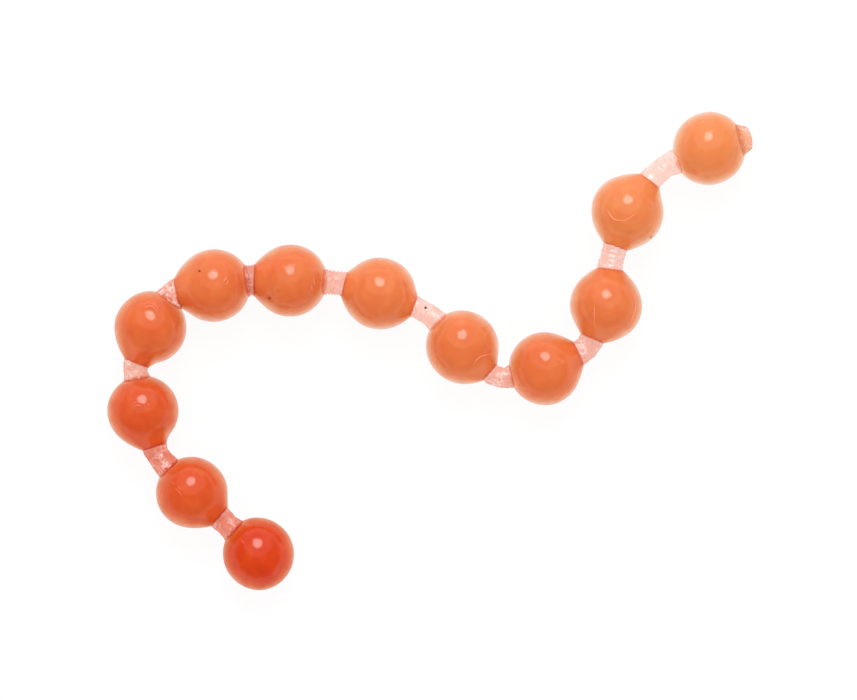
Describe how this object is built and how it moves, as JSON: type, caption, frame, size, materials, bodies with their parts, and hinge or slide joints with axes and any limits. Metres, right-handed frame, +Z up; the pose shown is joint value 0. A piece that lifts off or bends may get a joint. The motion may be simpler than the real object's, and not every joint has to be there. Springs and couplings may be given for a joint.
{
  "type": "salmon egg bait string",
  "caption": "Soft fishing bait: a string of dyed gel eggs under thin clear coats, joined by short bendable translucent links, with a trimmed nub at one end.",
  "frame": {"origin": "on the surface that the string lies on, under the middle of its box", "axes": "+X along the string's longer side, +Y across it, +Z up from the surface"},
  "size_m": [0.0708, 0.0524, 0.008],
  "materials": {
    "core_red": "translucent gel core, deep red-orange",
    "core_vermilion": "translucent gel core, vermilion",
    "core_orange": "translucent gel core, orange",
    "core_apricot": "translucent gel core, light orange",
    "coat_clear": "clear gloss gel, faint pink",
    "link_coral": "translucent gloss gel, coral pink",
    "link_pink": "translucent gloss gel, pale pink",
    "nub_apricot": "translucent gel, ridged, light orange"
  },
  "bodies": {
    "egg_01": {"egg_01_core": "core_red", "egg_01_coat": "coat_clear"},
    "link_01": {"link_01": "link_coral"},
    "egg_02": {"egg_02_core": "core_vermilion", "egg_02_coat": "coat_clear"},
    "link_02": {"link_02": "link_coral"},
    "egg_03": {"egg_03_core": "core_vermilion", "egg_03_coat": "coat_clear"},
    "link_03": {"link_03": "link_pink"},
    "egg_04": {"egg_04_core": "core_orange", "egg_04_coat": "coat_clear"},
    "link_04": {"link_04": "link_pink"},
    "egg_05": {"egg_05_core": "core_orange", "egg_05_coat": "coat_clear"},
    "link_05": {"link_05": "link_pink"},
    "egg_06": {"egg_06_core": "core_orange", "egg_06_coat": "coat_clear"},
    "link_06": {"link_06": "link_pink"},
    "egg_07": {"egg_07_core": "core_orange", "egg_07_coat": "coat_clear"},
    "link_07": {"link_07": "link_pink"},
    "egg_08": {"egg_08_core": "core_orange", "egg_08_coat": "coat_clear"},
    "link_08": {"link_08": "link_pink"},
    "egg_09": {"egg_09_core": "core_orange", "egg_09_coat": "coat_clear"},
    "link_09": {"link_09": "link_pink"},
    "egg_10": {"egg_10_core": "core_orange", "egg_10_coat": "coat_clear"},
    "link_10": {"link_10": "link_pink"},
    "egg_11": {"egg_11_core": "core_apricot", "egg_11_coat": "coat_clear"},
    "link_11": {"link_11": "link_pink"},
    "egg_12": {"egg_12_core": "core_apricot", "egg_12_coat": "coat_clear", "tail_nub": "nub_apricot"}
  },
  "joints": [
    {"name": "link_01_sway", "type": "hinge", "parent": "egg_01", "child": "link_01", "pos_m": [-0.02239, -0.01878, 0.00395], "axis": [0, 0, 1], "range_deg": [-40, 40], "stiffness_Nm_per_rad": 0.0001, "deforming": ["link_01"]},
    {"name": "link_01_lift", "type": "hinge", "parent": "link_01", "child": "egg_02", "pos_m": [-0.02239, -0.01878, 0.00395], "axis": [-0.682, -0.7314, 0], "range_deg": [-35, 35], "stiffness_Nm_per_rad": 0.0001, "deforming": ["link_01"]},
    {"name": "link_02_sway", "type": "hinge", "parent": "egg_02", "child": "link_02", "pos_m": [-0.02971, -0.01159, 0.00395], "axis": [0, 0, -1], "range_deg": [-60, 20], "stiffness_Nm_per_rad": 0.0001, "deforming": ["link_02"]},
    {"name": "link_02_lift", "type": "hinge", "parent": "link_02", "child": "egg_03", "pos_m": [-0.02971, -0.01159, 0.00395], "axis": [-0.8572, -0.515, 0], "range_deg": [-45, 45], "stiffness_Nm_per_rad": 0.0001, "deforming": ["link_02"]},
    {"name": "link_03_sway", "type": "hinge", "parent": "egg_03", "child": "link_03", "pos_m": [-0.03228, -0.00186, 0.00395], "axis": [0, 0, 1], "range_deg": [-5, 60], "stiffness_Nm_per_rad": 0.0001, "deforming": ["link_03"]},
    {"name": "link_03_lift", "type": "hinge", "parent": "link_03", "child": "egg_04", "pos_m": [-0.03228, -0.00186, 0.00395], "axis": [0.9962, -0.0872, 0], "range_deg": [-30, 30], "stiffness_Nm_per_rad": 0.0001, "deforming": ["link_03"]},
    {"name": "link_04_sway", "type": "hinge", "parent": "egg_04", "child": "link_04", "pos_m": [-0.02798, 0.00617, 0.00395], "axis": [0, 0, -1], "range_deg": [-60, 3], "stiffness_Nm_per_rad": 0.0001, "deforming": ["link_04"]},
    {"name": "link_04_lift", "type": "hinge", "parent": "link_04", "child": "egg_05", "pos_m": [-0.02798, 0.00617, 0.00395], "axis": [0.5446, -0.8387, 0], "range_deg": [-10, 10], "stiffness_Nm_per_rad": 0.0001, "deforming": ["link_04"]},
    {"name": "link_05_sway", "type": "hinge", "parent": "egg_05", "child": "link_05", "pos_m": [-0.0195, 0.00777, 0.00395], "axis": [0, 0, 1], "range_deg": [-15, 35], "stiffness_Nm_per_rad": 0.0001, "deforming": ["link_05"]},
    {"name": "link_05_lift", "type": "hinge", "parent": "link_05", "child": "egg_06", "pos_m": [-0.0195, 0.00777, 0.00395], "axis": [-0.0698, 0.9976, 0], "range_deg": [-20, 20], "stiffness_Nm_per_rad": 0.0001, "deforming": ["link_05"]},
    {"name": "link_06_sway", "type": "hinge", "parent": "egg_06", "child": "link_06", "pos_m": [-0.01031, 0.00753, 0.00395], "axis": [0, 0, -1], "range_deg": [-50, 25], "stiffness_Nm_per_rad": 0.0001, "deforming": ["link_06"]},
    {"name": "link_06_lift", "type": "hinge", "parent": "link_06", "child": "egg_07", "pos_m": [-0.01031, 0.00753, 0.00395], "axis": [0.1392, 0.9903, 0], "range_deg": [-40, 40], "stiffness_Nm_per_rad": 0.0001, "deforming": ["link_06"]},
    {"name": "link_07_sway", "type": "hinge", "parent": "egg_07", "child": "link_07", "pos_m": [-0.00037, 0.00429, 0.00395], "axis": [0, 0, 1], "range_deg": [-20, 60], "stiffness_Nm_per_rad": 0.0001, "deforming": ["link_07"]},
    {"name": "link_07_lift", "type": "hinge", "parent": "link_07", "child": "egg_08", "pos_m": [-0.00037, 0.00429, 0.00395], "axis": [-0.5446, -0.8387, 0], "range_deg": [-45, 45], "stiffness_Nm_per_rad": 0.0001, "deforming": ["link_07"]},
    {"name": "link_08_sway", "type": "hinge", "parent": "egg_08", "child": "link_08", "pos_m": [0.00747, -0.00297, 0.00395], "axis": [0, 0, -1], "range_deg": [-5, 60], "stiffness_Nm_per_rad": 0.0001, "deforming": ["link_08"]},
    {"name": "link_08_lift", "type": "hinge", "parent": "link_08", "child": "egg_09", "pos_m": [0.00747, -0.00297, 0.00395], "axis": [-0.2588, -0.9659, 0], "range_deg": [-35, 35], "stiffness_Nm_per_rad": 0.0001, "deforming": ["link_08"]},
    {"name": "link_09_sway", "type": "hinge", "parent": "egg_09", "child": "link_09", "pos_m": [0.01717, 0.00035, 0.00395], "axis": [0, 0, 1], "range_deg": [-60, 5], "stiffness_Nm_per_rad": 0.0001, "deforming": ["link_09"]},
    {"name": "link_09_lift", "type": "hinge", "parent": "link_09", "child": "egg_10", "pos_m": [0.01717, 0.00035, 0.00395], "axis": [-0.7193, 0.6947, 0], "range_deg": [-35, 35], "stiffness_Nm_per_rad": 0.0001, "deforming": ["link_09"]},
    {"name": "link_10_sway", "type": "hinge", "parent": "egg_10", "child": "link_10", "pos_m": [0.01999, 0.01026, 0.00395], "axis": [0, 0, -1], "range_deg": [-55, 30], "stiffness_Nm_per_rad": 0.0001, "deforming": ["link_10"]},
    {"name": "link_10_lift", "type": "hinge", "parent": "link_10", "child": "egg_11", "pos_m": [0.01999, 0.01026, 0.00395], "axis": [-0.9744, 0.225, 0], "range_deg": [-45, 45], "stiffness_Nm_per_rad": 0.0001, "deforming": ["link_10"]},
    {"name": "link_11_sway", "type": "hinge", "parent": "egg_11", "child": "link_11", "pos_m": [0.02522, 0.01988, 0.00395], "axis": [0, 0, 1], "range_deg": [-15, 60], "stiffness_Nm_per_rad": 0.0001, "deforming": ["link_11"]},
    {"name": "link_11_lift", "type": "hinge", "parent": "link_11", "child": "egg_12", "pos_m": [0.02522, 0.01988, 0.00395], "axis": [0.6157, -0.788, 0], "range_deg": [-45, 45], "stiffness_Nm_per_rad": 0.0001, "deforming": ["link_11"]}
  ]
}
